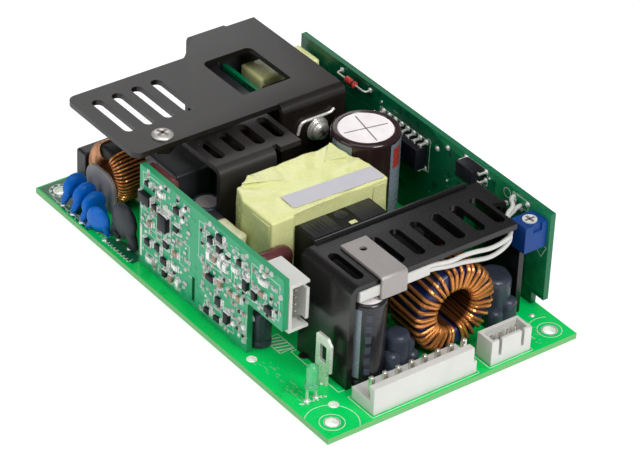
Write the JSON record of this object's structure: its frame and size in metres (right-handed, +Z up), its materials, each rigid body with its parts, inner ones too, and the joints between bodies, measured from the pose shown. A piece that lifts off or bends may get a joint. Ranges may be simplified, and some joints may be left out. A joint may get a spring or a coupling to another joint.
{
  "type": "open frame power supply",
  "caption": "Open frame switching power supply on one green board, with dark folded heat sinks, taped transformer, wound chokes, upright side boards and pin headers for a cable at each end.",
  "frame": {"origin": "centre of the four mounting holes, on the underside of the main board", "axes": "+X along the board from the mains end to the output end, +Y across it toward the long upright board, +Z up"},
  "size_m": [0.127, 0.0762, 0.0385],
  "materials": {
    "pcb_green": "solder mask",
    "board_teal": "solder mask",
    "board_dark": "solder mask",
    "solder": "bright",
    "sink_dark": "dark satin",
    "tape_yellow": "polyester tape",
    "ferrite": "ferrite",
    "copper": "enamelled copper",
    "core_blue": "coated core",
    "white_plastic": "natural nylon",
    "white_sensor": "insulation",
    "label_white": "paper",
    "tinned": "tin plated",
    "steel_bright": "zinc plated",
    "clip_grey": "dull steel",
    "sleeve_brown": "shrink sleeve",
    "sleeve_dark": "shrink sleeve",
    "sleeve_slate": "shrink sleeve",
    "film_brown": "dipped coating",
    "box_black": "moulded",
    "disc_blue": "dipped coating",
    "disc_black": "dipped coating",
    "plate_grey": "moulded",
    "chip_black": "moulded",
    "glass_red": "glass body",
    "trimmer_blue": "moulded",
    "rotor_white": "moulded",
    "led_green": "tinted epoxy"
  },
  "bodies": {
    "supply": {"arm_screw": "steel_bright", "board_capacitor": "sleeve_dark", "boost_choke_core": "ferrite", "boost_choke_winding": "tape_yellow", "bridge_rectifier": "box_black", "bulk_capacitor": "sleeve_brown", "control_board": "board_teal", "control_chips": "chip_black", "control_ic": "chip_black", "disc_capacitors": "disc_blue", "drive_transformer": "tape_yellow", "feedback_board": "board_dark", "film_capacitor_a": "film_brown", "film_capacitor_b": "film_brown", "filter_capacitor": "box_black", "flange_screw": "steel_bright", "flange_wire": "tinned", "glass_diode": "glass_red", "ground_tab": "tinned", "heat_sink_nuts": "steel_bright", "input_header": "white_plastic", "input_header_pins": "tinned", "led_leads": "tinned", "led_lens": "led_green", "line_choke_core": "ferrite", "line_choke_plate": "plate_grey", "line_choke_winding": "copper", "main_board": "pcb_green", "optocoupler": "chip_black", "output_capacitor_low": "sleeve_slate", "output_capacitor_right": "sleeve_slate", "output_capacitor_tall": "sleeve_dark", "output_choke_core": "core_blue", "output_choke_winding": "copper", "output_header": "white_plastic", "output_header_pins": "tinned", "output_heat_sink": "sink_dark", "output_rectifiers": "box_black", "primary_heat_sink": "sink_dark", "rectifier_heat_sink": "sink_dark", "sensor_clip": "clip_grey", "sensor_leads": "white_sensor", "side_connector": "white_plastic", "side_connector_pins": "tinned", "signal_header": "white_plastic", "signal_header_pins": "tinned", "solder_joints": "solder", "standby_board": "board_dark", "supply_capacitor": "sleeve_dark", "switch_transistor": "box_black", "temperature_sensor": "white_sensor", "thermistor": "disc_black", "transformer_core": "ferrite", "transformer_label": "label_white", "transformer_winding": "tape_yellow", "trimmer_body": "trimmer_blue", "x_capacitor": "box_black"},
    "rotor": {"trimmer_rotor": "rotor_white"}
  },
  "joints": [
    {"name": "trimmer_turn", "type": "hinge", "parent": "supply", "child": "rotor", "pos_m": [0.04825, 0.03305, 0.028], "axis": [0, 0, 1], "range_deg": [-150, 150]}
  ]
}
